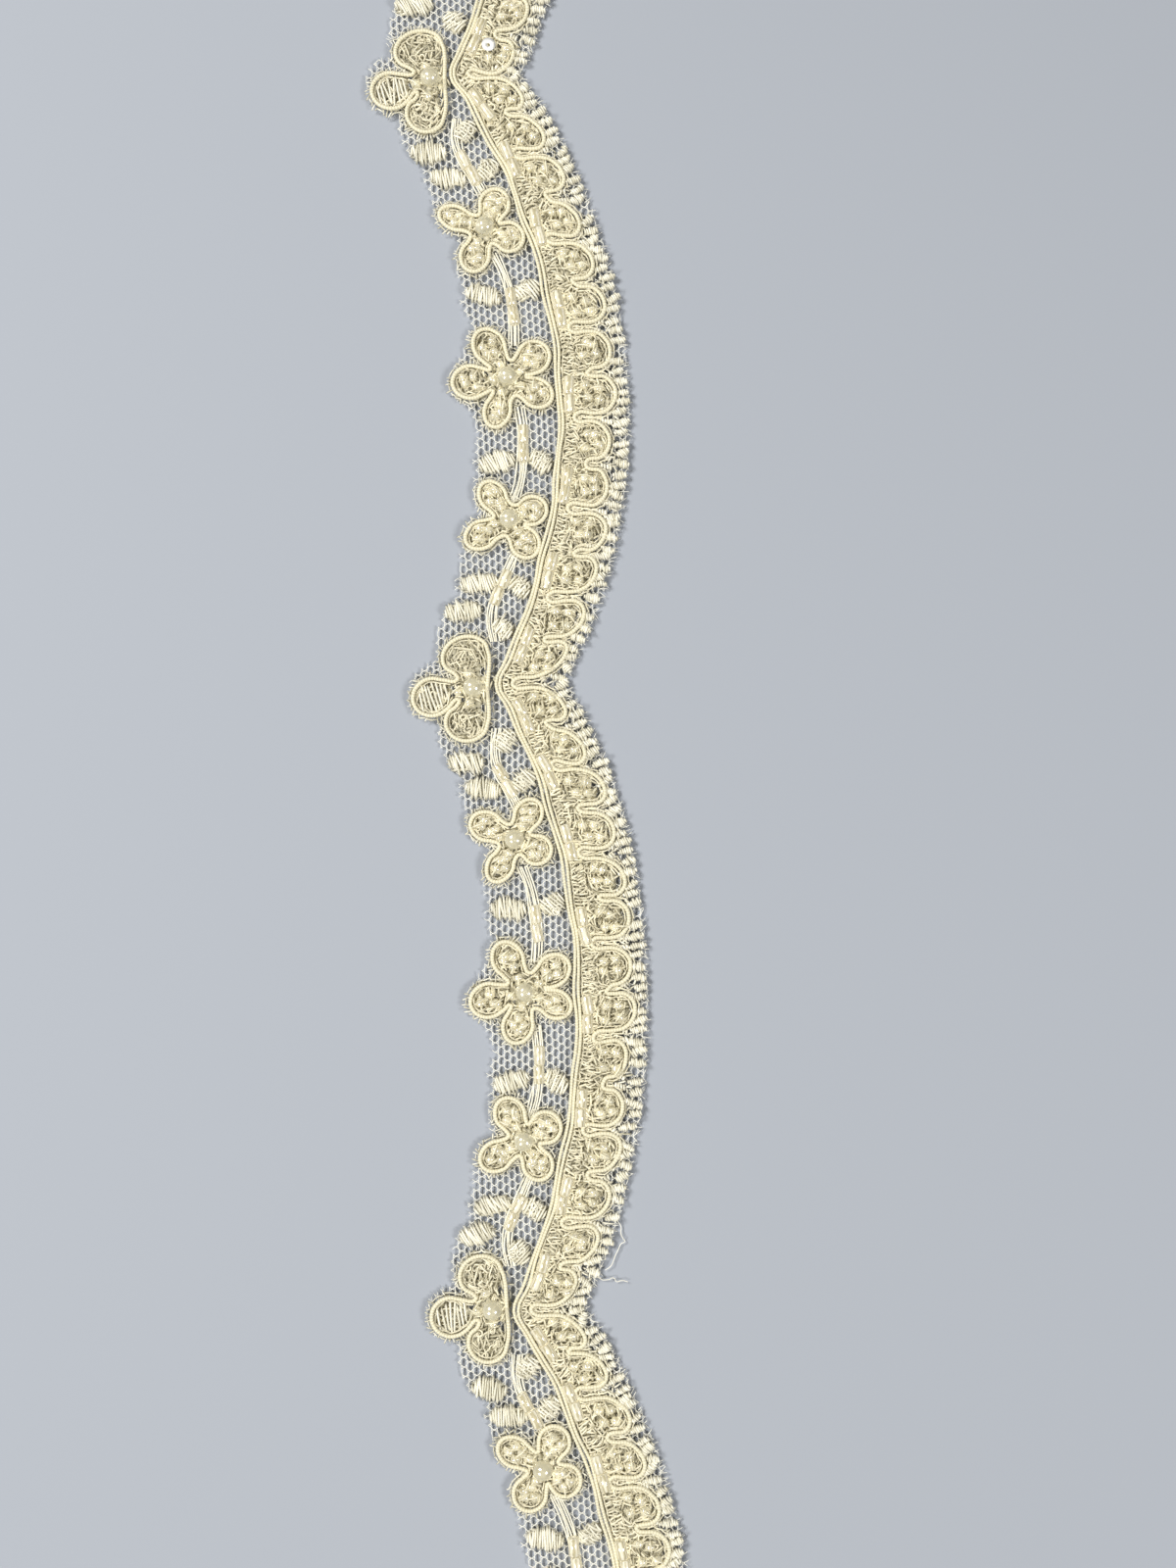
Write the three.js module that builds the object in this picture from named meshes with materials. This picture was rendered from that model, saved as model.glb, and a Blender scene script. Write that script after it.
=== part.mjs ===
// Beaded corded lace trim: a cut length of scalloped lace edging, lying flat with its right side up.
// Millimetres, +Z up. The length runs along Y, the picot edge is on the +X side.
import * as THREE from 'three';

// ---- driving dimensions --------------------------------------------------------------------

const SCALLOP = 120; // chord of one scallop, from cusp to cusp
const RISE = 15; // how far the spine bulges to the right of that chord
const TOP_END = 23; // cut end, above the first cusp
const BOTTOM_END = -312; // cut end, below the first cusp

const GROUND_THICK = 1; // embroidered net, with its stitching
const PICOT_EDGE = 13.4; // spine to the tips of the picots
const EDGE_EASE = 1.4; // how much nearer the spine the tips come at a cusp
const SEAT_GAP = 0.3; // clearance between a sewn-on piece and the net under it

const CORD = 0.7; // diameter of the gimp round the flowers and along the wave
const SPINE_CORD = 0.6; // diameter of each of the two spine cords
const SPINE_OFFSET = 0.45; // each spine cord to the middle line between them
const CORD_SIDES = 5;
const SPINE_STEPS = 16; // straight lengths of a spine cord on one scallop
const CORD_CUT = 0.5; // gap between the two cut ends of a flower's cord

const BEAD = 3.8; // round bead in the middle of each flower

const LOOPS = 14; // loops of the wave cord on one scallop
const DEEP_TURN = 3; // spine to an inner turn that nearly reaches it
const SHALLOW_TURN = 5.4; // spine to an inner turn that passes a pair of bugle beads

const LOOP_EASE = 0.12; // share of its height that a loop loses at a cusp
const TURN_END = 0.81; // end of an inner turn, as a share of half the pitch, from the crown

// One flank of a loop. along: share of half the pitch, from the crown; out: from the spine.
const LOOP_FLANK = [
  { along: 0.81, out: 6.6 },
  { along: 0.75, out: 8.4 },
  { along: 0.44, out: 9.9 },
];

// The net's free edge beside one half scallop. It is the same, mirrored, on the other half.
// fromCusp: distance down the chord; x: place of the edge, from the line through the cusps.
const FREE_EDGE = [
  { fromCusp: 0, x: -17 },
  { fromCusp: 2.4, x: -16.5 },
  { fromCusp: 4.6, x: -14 },
  { fromCusp: 5.4, x: -11.2 },
  { fromCusp: 7, x: -11.4 },
  { fromCusp: 10, x: -11.4 },
  { fromCusp: 12.6, x: -10.8 },
  { fromCusp: 15, x: -9.8 },
  { fromCusp: 17.6, x: -7.2 },
  { fromCusp: 20.4, x: -7.6 },
  { fromCusp: 23, x: -6.4 },
  { fromCusp: 26.5, x: -6.3 },
  { fromCusp: 29.2, x: -4.6 },
  { fromCusp: 31.2, x: -2 },
  { fromCusp: 34.4, x: -2.6 },
  { fromCusp: 38, x: -3 },
  { fromCusp: 42, x: -2.5 },
  { fromCusp: 45.2, x: -2.7 },
  { fromCusp: 49, x: -1.4 },
  { fromCusp: 54, x: -2.8 },
  { fromCusp: 57.2, x: -5.2 },
  { fromCusp: 60, x: -6.2 },
];
const PICOT_EDGE_STEPS = 16; // straight lengths of the picot edge on one scallop

// Petals of the three flowers, anticlockwise. angle: degrees from +X; reach: bead to petal centre;
// length and width: of the cord's middle line; notchAngle and notchReach: the dip after the petal.
// first and last: degrees from the tip where the cord joins and leaves, if not PETAL_SWEEP.
const APEX_PETALS = [
  { angle: 105, reach: 6.5, length: 7.4, width: 8.7, notchAngle: 149, notchReach: 3.6, first: 78 },
  { angle: 187, reach: 8, length: 7.8, width: 7.4, notchAngle: 216, notchReach: 3.6 },
  { angle: 256, reach: 6.7, length: 7.2, width: 7.6, notchAngle: 360, notchReach: 2.7, last: 78 },
];
const SIDE_PETALS = [
  { angle: 61, reach: 5.2, length: 6.4, width: 5.6, notchAngle: 106, notchReach: 3.1 },
  { angle: 151, reach: 5.9, length: 7, width: 5.3, notchAngle: 197, notchReach: 3.1 },
  { angle: 237, reach: 5.5, length: 6.8, width: 5.5, notchAngle: 287, notchReach: 3.1 },
  { angle: 334, reach: 4.7, length: 5.9, width: 5.8, notchAngle: 377, notchReach: 3.1 },
];
const MIDDLE_PETALS = [
  { angle: 38, reach: 6.4, length: 6.9, width: 5.9, notchAngle: 76, notchReach: 3.6 },
  { angle: 114, reach: 7, length: 7.5, width: 6.1, notchAngle: 149, notchReach: 3.8 },
  { angle: 184, reach: 7.1, length: 7.4, width: 6.1, notchAngle: 218, notchReach: 3.8 },
  { angle: 252, reach: 6.5, length: 7, width: 5.6, notchAngle: 291, notchReach: 3.7 },
  { angle: 329, reach: 6.1, length: 6.7, width: 5.8, notchAngle: 363.5, notchReach: 3.6 },
];
const PETAL_SWEEP = 128; // degrees of the petal's ellipse, to each side of its tip
const PETAL_POINTS = 8;
const DEGREE = Math.PI / 180;
const ORIGIN = new THREE.Vector2();

// Where the flowers stand. down: below the first cusp; x: from the line through the cusps;
// turn: degrees that the cord has turned by. Laid by hand, each is a little off its neighbours.
const FLOWERS = [
  { down: 0.8, x: -4.2, turn: 0, petals: APEX_PETALS },
  { down: 30.8, x: 3.4, turn: 2, petals: SIDE_PETALS },
  { down: 60.4, x: 5.1, turn: -1, petals: MIDDLE_PETALS },
  { down: 88.2, x: 3.65, turn: 0, petals: mirrored(SIDE_PETALS) },
  { down: 120.4, x: -4.4, turn: 0, petals: APEX_PETALS },
  { down: 150.1, x: 3.2, turn: 0, petals: SIDE_PETALS },
  { down: 179.4, x: 4.95, turn: 2, petals: MIDDLE_PETALS },
  { down: 207.7, x: 3.8, turn: -1, petals: mirrored(SIDE_PETALS) },
  { down: 239.2, x: -4.1, turn: 0, petals: APEX_PETALS },
  { down: 269.8, x: 2.8, turn: -3, petals: SIDE_PETALS },
  { down: 300, x: 5.05, turn: 0, petals: MIDDLE_PETALS },
];

// The trim was laid down with a slight sideways sway.
const SWAY = 2.1; // to each side
const SWAY_LENGTH = 277; // crest to crest
const SWAY_CREST = -82; // place of a crest along Y

// ---- the scallop's arc ---------------------------------------------------------------------

const RADIUS = ((SCALLOP / 2) ** 2 + RISE ** 2) / (2 * RISE);
const CENTRE_X = RISE - RADIUS;
const SCALLOP_NUMBERS = [-1, 0, 1, 2]; // the first and last are cut short by the ends

// Half the angle that a scallop's arc spans when it is offset from the spine.
function halfAngle(offset) {
  return Math.asin(SCALLOP / 2 / (RADIUS + offset));
}

// A point on a scallop: angle down from its middle, distance outwards from its spine.
function onScallop(number, angle, offset) {
  const radius = RADIUS + offset;
  const middleY = -SCALLOP * (number + 0.5);
  return new THREE.Vector2(CENTRE_X + radius * Math.cos(angle), middleY - radius * Math.sin(angle));
}

// Moves a point sideways by the sway at its place along the length.
function swayed(point) {
  const phase = (2 * Math.PI * (point.y - SWAY_CREST)) / SWAY_LENGTH;
  return new THREE.Vector2(point.x + SWAY * Math.cos(phase), point.y);
}

function insideEnds(point, margin) {
  return point.y < TOP_END - margin && point.y > BOTTOM_END + margin;
}

// Where the straight line between two points crosses a cut end.
function atHeight(from, to, y) {
  return from.clone().lerp(to, (y - from.y) / (to.y - from.y));
}

// Keeps the stretch of a downward line that lies between the two cut ends, with a point on each.
function trimmedToEnds(points, margin) {
  const top = TOP_END - margin;
  const bottom = BOTTOM_END + margin;
  const first = points.findIndex((point) => point.y < top);
  const beyond = points.findIndex((point) => point.y < bottom);
  const kept = points.slice(first, beyond);
  kept.unshift(atHeight(points[first - 1], points[first], top));
  kept.push(atHeight(points[beyond - 1], points[beyond], bottom));
  return kept;
}

// ---- outlines and routes -------------------------------------------------------------------

// The trim narrows towards each cusp. share: -1 at the upper cusp, 0 in the middle, 1 at the lower.
function easing(share) {
  return share ** 4;
}

// A line beside the spine, scallop after scallop, that comes nearer to it at the cusps by ease.
function offsetLine(offset, steps, ease = 0) {
  const points = [];
  for (const number of SCALLOP_NUMBERS) {
    for (let step = 0; step < steps; step += 1) {
      const share = (2 * step) / steps - 1;
      const eased = offset - ease * easing(share);
      points.push(onScallop(number, halfAngle(eased) * share, eased));
    }
  }
  return points;
}

function freeEdge() {
  const points = [];
  for (const number of SCALLOP_NUMBERS) {
    const cuspY = -SCALLOP * number;
    for (const row of FREE_EDGE) {
      points.push(new THREE.Vector2(row.x, cuspY - row.fromCusp));
    }
    for (const row of FREE_EDGE.slice(1, -1).reverse()) {
      points.push(new THREE.Vector2(row.x, cuspY - SCALLOP + row.fromCusp));
    }
  }
  return points;
}

// The wave cord's route over one loop: an inner turn, out along a flank and back along the other.
function loopPoints(number, index) {
  const turns = [index, index + 1].map((turn) => (turn % 2 ? SHALLOW_TURN : DEEP_TURN));
  const points = [];
  const add = (along, out) => {
    const share = (2 * index + 1 + along) / LOOPS - 1;
    const eased = out * (1 - LOOP_EASE * easing(share));
    points.push(onScallop(number, halfAngle(eased) * share, eased));
  };
  add(-TURN_END, turns[0]);
  LOOP_FLANK.forEach((row) => add(-row.along, row.out));
  LOOP_FLANK.toReversed().forEach((row) => add(row.along, row.out));
  add(TURN_END, turns[1]);
  return points;
}

function waveRoute() {
  const points = [];
  for (const number of SCALLOP_NUMBERS) {
    for (let index = 0; index < LOOPS; index += 1) {
      points.push(...loopPoints(number, index));
    }
  }
  return points.filter((point) => insideEnds(point, CORD));
}

// A flower seen in a mirror across its own X axis, its petals again anticlockwise.
function mirrored(petals) {
  const turned = petals.map((petal, index) => {
    const before = petals[(index + petals.length - 1) % petals.length];
    return {
      ...petal,
      angle: 360 - petal.angle,
      notchAngle: 360 - (index ? before.notchAngle : before.notchAngle - 360),
      notchReach: before.notchReach,
    };
  });
  return turned.reverse();
}

function polar(degrees, reach) {
  const angle = degrees * DEGREE;
  return new THREE.Vector2(reach * Math.cos(angle), reach * Math.sin(angle));
}

// The cord starts and ends at the last notch, with its two cut ends a little apart.
function flowerRoute(flower) {
  const bead = new THREE.Vector2(flower.x, -flower.down);
  const points = [];
  for (const petal of flower.petals) {
    const first = petal.first ?? PETAL_SWEEP;
    const last = petal.last ?? PETAL_SWEEP;
    for (let step = 0; step < PETAL_POINTS; step += 1) {
      const sweep = DEGREE * (((first + last) * step) / (PETAL_POINTS - 1) - first);
      const x = petal.reach + (petal.length / 2) * Math.cos(sweep);
      const y = (petal.width / 2) * Math.sin(sweep);
      points.push(new THREE.Vector2(x, y).rotateAround(ORIGIN, petal.angle * DEGREE));
    }
    points.push(polar(petal.notchAngle, petal.notchReach));
  }
  const end = points.pop();
  const across = points[0].clone().sub(points.at(-1)).setLength(CORD_CUT / 2 + CORD / 4);
  points.unshift(end.clone().add(across));
  points.push(end.clone().sub(across));
  const turn = flower.turn * DEGREE;
  return points.map((point) => point.rotateAround(ORIGIN, turn).add(bead));
}

// ---- solids --------------------------------------------------------------------------------

// A flat route at one height, whose sections stand at its listed points.
class Route extends THREE.Curve {
  constructor(points, height) {
    super();
    this.points = points.map(swayed).map((point) => new THREE.Vector3(point.x, point.y, height));
  }

  getPointAt(share) {
    return this.points[Math.round(share * (this.points.length - 1))].clone();
  }

  getTangentAt(share) {
    const index = Math.round(share * (this.points.length - 1));
    const before = this.points[Math.max(index - 1, 0)];
    const after = this.points[Math.min(index + 1, this.points.length - 1)];
    return after.clone().sub(before).normalize();
  }
}

function cordSection(diameter) {
  const corners = [];
  for (let side = 0; side < CORD_SIDES; side += 1) {
    corners.push(new THREE.Vector2(diameter / 2, 0).rotateAround(ORIGIN, (360 * DEGREE * side) / CORD_SIDES));
  }
  return new THREE.Shape(corners);
}

function cordGeometry(points, diameter) {
  const height = GROUND_THICK + SEAT_GAP + diameter / 2;
  const route = new Route(points, height);
  return new THREE.ExtrudeGeometry(cordSection(diameter), {
    steps: points.length - 1,
    curveSegments: 1,
    bevelEnabled: false,
    extrudePath: route,
  });
}

function groundGeometry() {
  const left = trimmedToEnds(freeEdge(), 0);
  const right = trimmedToEnds(offsetLine(PICOT_EDGE, PICOT_EDGE_STEPS, EDGE_EASE), 0);
  const outline = new THREE.Shape([...left, ...right.reverse()].map(swayed));
  return new THREE.ExtrudeGeometry(outline, { depth: GROUND_THICK, bevelEnabled: false });
}

const cordFinish = new THREE.MeshStandardMaterial({ color: 0xe9e2c2, roughness: 0.55, metalness: 0 });
const netFinish = new THREE.MeshStandardMaterial({ color: 0xd9d2b6, roughness: 0.85, metalness: 0 });
const beadFinish = new THREE.MeshStandardMaterial({ color: 0xd8d2c0, roughness: 0.12, metalness: 0 });

function named(name, geometry, material) {
  const mesh = new THREE.Mesh(geometry, material.clone());
  mesh.name = name;
  return mesh;
}

function flowerPieces(flower, index) {
  const label = String(index + 1).padStart(2, '0');
  const cord = named(`flower_cord_${label}`, cordGeometry(flowerRoute(flower), CORD), cordFinish);
  const bead = named(`centre_bead_${label}`, new THREE.SphereGeometry(BEAD / 2, 8, 5), beadFinish);
  bead.rotation.x = Math.PI / 2;
  const place = swayed(new THREE.Vector2(flower.x, -flower.down));
  bead.position.set(place.x, place.y, GROUND_THICK + SEAT_GAP + BEAD / 2);
  return [cord, bead];
}

function buildTrim() {
  const trim = new THREE.Group();
  const innerSpine = trimmedToEnds(offsetLine(-SPINE_OFFSET, SPINE_STEPS), SPINE_CORD);
  const outerSpine = trimmedToEnds(offsetLine(SPINE_OFFSET, SPINE_STEPS), SPINE_CORD);
  trim.add(named('net_ground', groundGeometry(), netFinish));
  trim.add(named('spine_cord_inner', cordGeometry(innerSpine, SPINE_CORD), cordFinish));
  trim.add(named('spine_cord_outer', cordGeometry(outerSpine, SPINE_CORD), cordFinish));
  trim.add(named('wave_cord', cordGeometry(waveRoute(), CORD), cordFinish));
  FLOWERS.forEach((flower, index) => trim.add(...flowerPieces(flower, index)));
  return trim;
}

// The origin is under the middle of the trim's box.
const trim = buildTrim();
const middle = new THREE.Box3().setFromObject(trim).getCenter(new THREE.Vector3());
trim.position.set(-middle.x, -middle.y, 0);

const group = new THREE.Group();
group.add(trim);
export default group;
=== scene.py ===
# %% [markdown]
# # Beaded corded lace trim
# This lesson dresses a flat length of lace edging. A machine embroiders a net, a cord is then
# couched down along the pattern, and glass beads are sewn on last. The solids that were modelled
# before carry the sizes, so this script reads them first and never moves them.

# %% Load the fixed frame
import math

import bmesh
import bpy
import numpy as np
from mathutils import Matrix, Vector, noise


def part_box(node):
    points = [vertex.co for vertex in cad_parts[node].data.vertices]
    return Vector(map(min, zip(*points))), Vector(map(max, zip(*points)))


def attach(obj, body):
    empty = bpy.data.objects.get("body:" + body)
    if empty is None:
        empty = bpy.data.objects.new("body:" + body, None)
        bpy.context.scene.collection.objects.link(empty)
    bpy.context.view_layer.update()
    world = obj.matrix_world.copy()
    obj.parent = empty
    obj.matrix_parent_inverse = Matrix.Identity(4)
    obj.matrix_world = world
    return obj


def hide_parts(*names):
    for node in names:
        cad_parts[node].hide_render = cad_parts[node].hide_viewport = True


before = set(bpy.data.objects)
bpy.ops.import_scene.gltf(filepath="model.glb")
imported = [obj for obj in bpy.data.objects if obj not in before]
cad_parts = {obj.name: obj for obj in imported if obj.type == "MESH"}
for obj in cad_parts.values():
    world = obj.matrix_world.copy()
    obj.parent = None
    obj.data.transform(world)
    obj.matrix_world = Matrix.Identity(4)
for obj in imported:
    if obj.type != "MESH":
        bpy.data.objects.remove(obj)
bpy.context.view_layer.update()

MM = 0.001

# %% [markdown]
# ## The scallop as a chain of arcs
# The whole design follows one line, the spine, which is a chain of equal arcs that meet in
# cusps. So every place is given the way an embroiderer's chart gives it: which scallop, how far
# along it, and how far out from the spine. One function turns that into a point on the table.

# %% Chart of the design
SCALLOP = 120 * MM  # cusp to cusp
RISE = 15 * MM  # bulge of the spine
RADIUS = ((SCALLOP / 2) ** 2 + RISE**2) / (2 * RISE)
CENTRE_X = RISE - RADIUS
TOP_END = 23 * MM
BOTTOM_END = -312 * MM
PICOT_EDGE = 13.4 * MM
EDGE_EASE = 1.4 * MM  # how much nearer the spine the picots come at a cusp
LOOP_EASE = 0.12  # share of its height that a loop loses at a cusp
SCALLOPS = (-1, 0, 1, 2)
SWAY = 2.1 * MM
SWAY_LENGTH = 277 * MM
SWAY_CREST = -82 * MM


def half_angle(out):
    return math.asin(SCALLOP / 2 / (RADIUS + out))


def on_scallop(number, share, out):
    """share runs from -1 at the upper cusp to 1 at the lower one; out is measured from the spine."""
    angle = share * half_angle(out)
    radius = RADIUS + out
    return Vector(
        (
            CENTRE_X + radius * math.cos(angle),
            -SCALLOP * (number + 0.5) - radius * math.sin(angle),
        )
    )


def easing(share):
    """The trim narrows towards each cusp: 0 in the middle of a scallop, 1 at its ends."""
    return share**4


def edge_out(share):
    return PICOT_EDGE - EDGE_EASE * easing(share)


def chart_place(point):
    """The chart's reading of a plan point: scallop, share along it and distance out."""
    number = math.floor(-point[1] / SCALLOP)
    across = point[0] - CENTRE_X
    down = -SCALLOP * (number + 0.5) - point[1]
    out = math.hypot(across, down) - RADIUS
    return number, math.atan2(down, across) / half_angle(out), out


def sway(y):
    return SWAY * math.cos(2 * math.pi * (y - SWAY_CREST) / SWAY_LENGTH)


FIRST_BEAD = Vector((-4.2, -0.8)) * MM  # plan point of the first flower's bead
low_corner, high_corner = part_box("centre_bead_01")
SHIFT = Vector(
    (
        (low_corner[0] + high_corner[0]) / 2 - FIRST_BEAD.x - sway(FIRST_BEAD.y),
        (low_corner[1] + high_corner[1]) / 2 - FIRST_BEAD.y,
    )
)


def laid(point, height=0.0):
    """A plan point, swayed as the trim was laid down, in the frame that the solids stand in."""
    return Vector((point[0] + sway(point[1]) + SHIFT.x, point[1] + SHIFT.y, height))


def inside_ends(point, margin=0.0):
    return BOTTOM_END + margin < point[1] < TOP_END - margin


print("spine radius %.1f mm, shift %s mm" % (RADIUS / MM, [round(c / MM, 2) for c in SHIFT]))

# %% [markdown]
# ## Camera
# The trim is seen from almost straight above, leaning a little in the picture. The camera is made
# first, so that each later piece can be looked at as soon as it stands. A target point and a
# distance are easier to read than a matrix, so the matrix is worked out from them.

# %% Camera over the trim
LEAN = math.radians(3.33)
TILT = math.radians(2.08)
CAMERA_DISTANCE = 337.9 * MM
AIM = Vector((18.0, -140.2)) * MM  # plan point in the middle of the view


def add_camera():
    data = bpy.data.cameras.new("camera")
    data.lens = 40
    data.sensor_fit = "VERTICAL"
    data.sensor_height = 36
    data.clip_start = 0.01
    camera = bpy.data.objects.new("camera", data)
    bpy.context.scene.collection.objects.link(camera)
    target = Vector((AIM.x + SHIFT.x, AIM.y + SHIFT.y, 0))
    turn = Matrix.Rotation(-LEAN, 4, "Z") @ Matrix.Rotation(TILT, 4, "X")
    camera.matrix_world = Matrix.Translation(target) @ turn @ Matrix.Translation((0, 0, CAMERA_DISTANCE))
    bpy.context.scene.camera = camera
    return camera


camera = add_camera()
print("camera at", [round(c / MM) for c in camera.matrix_world.translation], "mm")

# %% [markdown]
# ## Finishes
# Everything textile here is a pale thread, but the threads shine differently. Colours are
# written as hex values, as on a dye card, and one function turns them to the linear values that
# the shader wants. A second small function adds a node with its settings and its links.

# %% Helpers for finishes


def dye(code):
    """sRGB hex to linear RGBA."""
    channels = [int(code[i : i + 2], 16) / 255 for i in (0, 2, 4)]
    linear = [c / 12.92 if c <= 0.04045 else ((c + 0.055) / 1.055) ** 2.4 for c in channels]
    return (*linear, 1.0)


def node(tree, kind, links=(), **settings):
    """Adds one node. Settings are its properties or, where there is none, its input values."""
    made = tree.nodes.new(kind)
    for name, value in settings.items():
        if hasattr(made, name):
            setattr(made, name, value)
        else:
            made.inputs[name.replace("_", " ")].default_value = value
    for socket, source in links:
        tree.links.new(source, made.inputs[socket])
    return made


def thread_finish(name, light, painted_shade, roughness, sheen, fibre_mm, ridge_mm=None):
    """Thread: tone varies from stitch to stitch between its light colour and a painted shade, fibres run
    along it, and wraps cross it if asked.
    """
    material = bpy.data.materials.new(name)
    material.use_nodes = True
    tree = material.node_tree
    shader = tree.nodes["Principled BSDF"]
    shader.inputs["Roughness"].default_value = roughness
    shader.inputs["IOR"].default_value = 1.53
    shader.inputs["Sheen Weight"].default_value = sheen
    shader.inputs["Sheen Roughness"].default_value = 0.4
    strand = node(tree, "ShaderNodeAttribute", attribute_name="strand")
    tone = node(tree, "ShaderNodeAttribute", attribute_name="tone")
    stretched = node(tree, "ShaderNodeMapping", [("Vector", strand.outputs["Vector"])], Scale=(0.2, 1, 1))
    fibres = node(
        tree,
        "ShaderNodeTexNoise",
        [("Vector", stretched.outputs["Vector"])],
        Scale=1 / (fibre_mm * MM),
        Detail=2.0,
    )
    relief = fibres.outputs["Fac"]
    if ridge_mm:
        wraps = node(
            tree,
            "ShaderNodeTexWave",
            [("Vector", strand.outputs["Vector"])],
            Scale=math.pi / 10 / (ridge_mm * MM),
            Distortion=1.5,
            Detail=1.0,
        )
        both = node(tree, "ShaderNodeMix", [("A", relief), ("B", wraps.outputs["Fac"])], Factor=0.6)
        relief = both.outputs["Result"]
    # The relief also mixes the colour: fibres give it random tone, and the grooves of the wraps get
    # painted shade.
    stray = node(tree, "ShaderNodeMapRange", [("Value", relief)], From_Min=0.2, From_Max=0.8, To_Min=-0.25)
    stray.inputs["To Max"].default_value = 0.25
    shade_of = node(
        tree,
        "ShaderNodeMath",
        [(0, tone.outputs["Fac"]), (1, stray.outputs["Result"])],
        operation="ADD",
        use_clamp=True,
    )
    colour = node(tree, "ShaderNodeMix", [("Factor", shade_of.outputs[0])], data_type="RGBA")
    colour.inputs["A"].default_value = dye(painted_shade)
    colour.inputs["B"].default_value = dye(light)
    bump = node(tree, "ShaderNodeBump", [("Height", relief)], Strength=0.6, Distance=0.08 * MM)
    tree.links.new(colour.outputs["Result"], shader.inputs["Base Color"])
    tree.links.new(bump.outputs["Normal"], shader.inputs["Normal"])
    return material


def glass_finish(name, tint, clear, roughness, clearness, lustre, painted_streak_mm=None):
    """Glass under a thin lustre skin, clouded or, if asked, with painted highlights streaked along its
    length.
    """
    material = bpy.data.materials.new(name)
    material.use_nodes = True
    tree = material.node_tree
    shader = tree.nodes["Principled BSDF"]
    shader.inputs["IOR"].default_value = 1.52
    shader.inputs["Transmission Weight"].default_value = clearness
    shader.inputs["Coat Weight"].default_value = 1.0
    shader.inputs["Coat IOR"].default_value = lustre
    shader.inputs["Coat Roughness"].default_value = roughness
    strand = node(tree, "ShaderNodeAttribute", attribute_name="strand")
    place = [("Vector", strand.outputs["Vector"])]
    # Streaks: lighter stripes painted along the bead, painted highlights in its colour.
    if painted_streak_mm:
        scale = math.pi / 10 / (painted_streak_mm * MM)
        pattern = node(tree, "ShaderNodeTexWave", place, Scale=scale, Distortion=2.0, Detail=1.0)
    else:
        pattern = node(tree, "ShaderNodeTexNoise", place, Scale=1 / (1.2 * MM))
    cloud_and_painted_streak = pattern.outputs["Fac"]
    colour = node(tree, "ShaderNodeMix", [("Factor", cloud_and_painted_streak)], data_type="RGBA")
    colour.inputs["A"].default_value = dye(tint)
    colour.inputs["B"].default_value = dye(clear)
    rough = node(tree, "ShaderNodeMapRange", [("Value", cloud_and_painted_streak)], To_Min=roughness, To_Max=roughness + 0.06)
    tree.links.new(colour.outputs["Result"], shader.inputs["Base Color"])
    tree.links.new(rough.outputs["Result"], shader.inputs["Roughness"])
    return material


# %% [markdown]
# Net is polyester filament: thin, cool white, nearly matt. The filling is a duller spun
# thread. Leaves and picots are satin stitch in rayon, whose long floats shine. The couched cord
# is viscose gimp, a core wrapped in filament. Its wraps are 0.2 mm apart on the real cord, and
# are drawn 0.55 mm apart here, because finer ones wouldn't show. Each thread has a light tone and
# a painted shade, a darker colour that stands in for the shade between threads and in their
# grooves; each stitch's tone and its fibres are mixed between the two.
#
# The beads are soda glass with a lustre fired on, a skin of metal oxide much thinner than a hair.
# The skin mirrors more than glass does, so it is a coat with a high IOR over milky glass. Bugles
# are drawn tubes with painted highlight streaks along them. The sequin is stamped from pearl film.

# %% Threads and glass
# The second colour of each thread is a painted shade, darker than the thread, for the shade between
# threads.
net_thread = thread_finish("polyester_net", "EFECDF", "B5AD8C", 0.6, 0.1, 0.5)
stitch_thread = thread_finish("spun_embroidery_thread", "F6EED1", "887F5D", 0.5, 0.15, 0.3)
satin_thread = thread_finish("rayon_satin_thread", "F5F0DC", "A29A76", 0.4, 0.15, 0.3)
gimp = thread_finish("viscose_gimp", "E7DFC0", "A69C77", 0.42, 0.15, 0.4, ridge_mm=0.55)
seed_glass = glass_finish("lustre_seed_glass", "DDD4B1", "FAF6E2", 0.04, 0.4, 2.0)
# The bugles' streaks are painted highlights along the tube.
bugle_glass = glass_finish("lustre_bugle_glass", "BDB390", "F6F0DA", 0.1, 0.15, 1.6, painted_streak_mm=0.34)
round_glass = glass_finish("lustre_round_glass", "C2BA9C", "DDD7BC", 0.16, 0.25, 2.1)
sequin_film = glass_finish("pearl_sequin_film", "EFEBDF", "FFFFFF", 0.25, 0.0, 1.6)
print("finishes:", [material.name for material in bpy.data.materials])

# %% [markdown]
# ## Keeping the pieces in order
# A finished piece is a mesh object that stands at the origin, rides on the root body, carries its
# finish and hides the solids it stands for.

# %% Finish a piece


def finish_piece(mesh, name, material, replaces=()):
    mesh.materials.clear()
    mesh.materials.append(material)
    mesh.shade_smooth()
    piece = bpy.data.objects.new(name, mesh)
    bpy.context.scene.collection.objects.link(piece)
    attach(piece, "root")
    if replaces:
        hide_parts(*replaces)
    triangles = sum(len(face.vertices) - 2 for face in mesh.polygons)
    print("%-18s %7d triangles" % (name, triangles))
    return piece


# One seeded generator serves the whole lesson, so that every run sews the same trim. Blender's
# own noise needs a seed too, because without one it starts from the clock.
chance = np.random.default_rng(11)
noise.seed_set(11)


# %% [markdown]
# ## Flowers on the chart
# Three flower forms repeat: an apex flower of three petals at each cusp, a side flower of four
# and a middle flower of five. Each petal is part of an ellipse, and the cord dips to a notch
# beside the bead between one petal and the next. The tables are short, so they are kept as rows.

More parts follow.
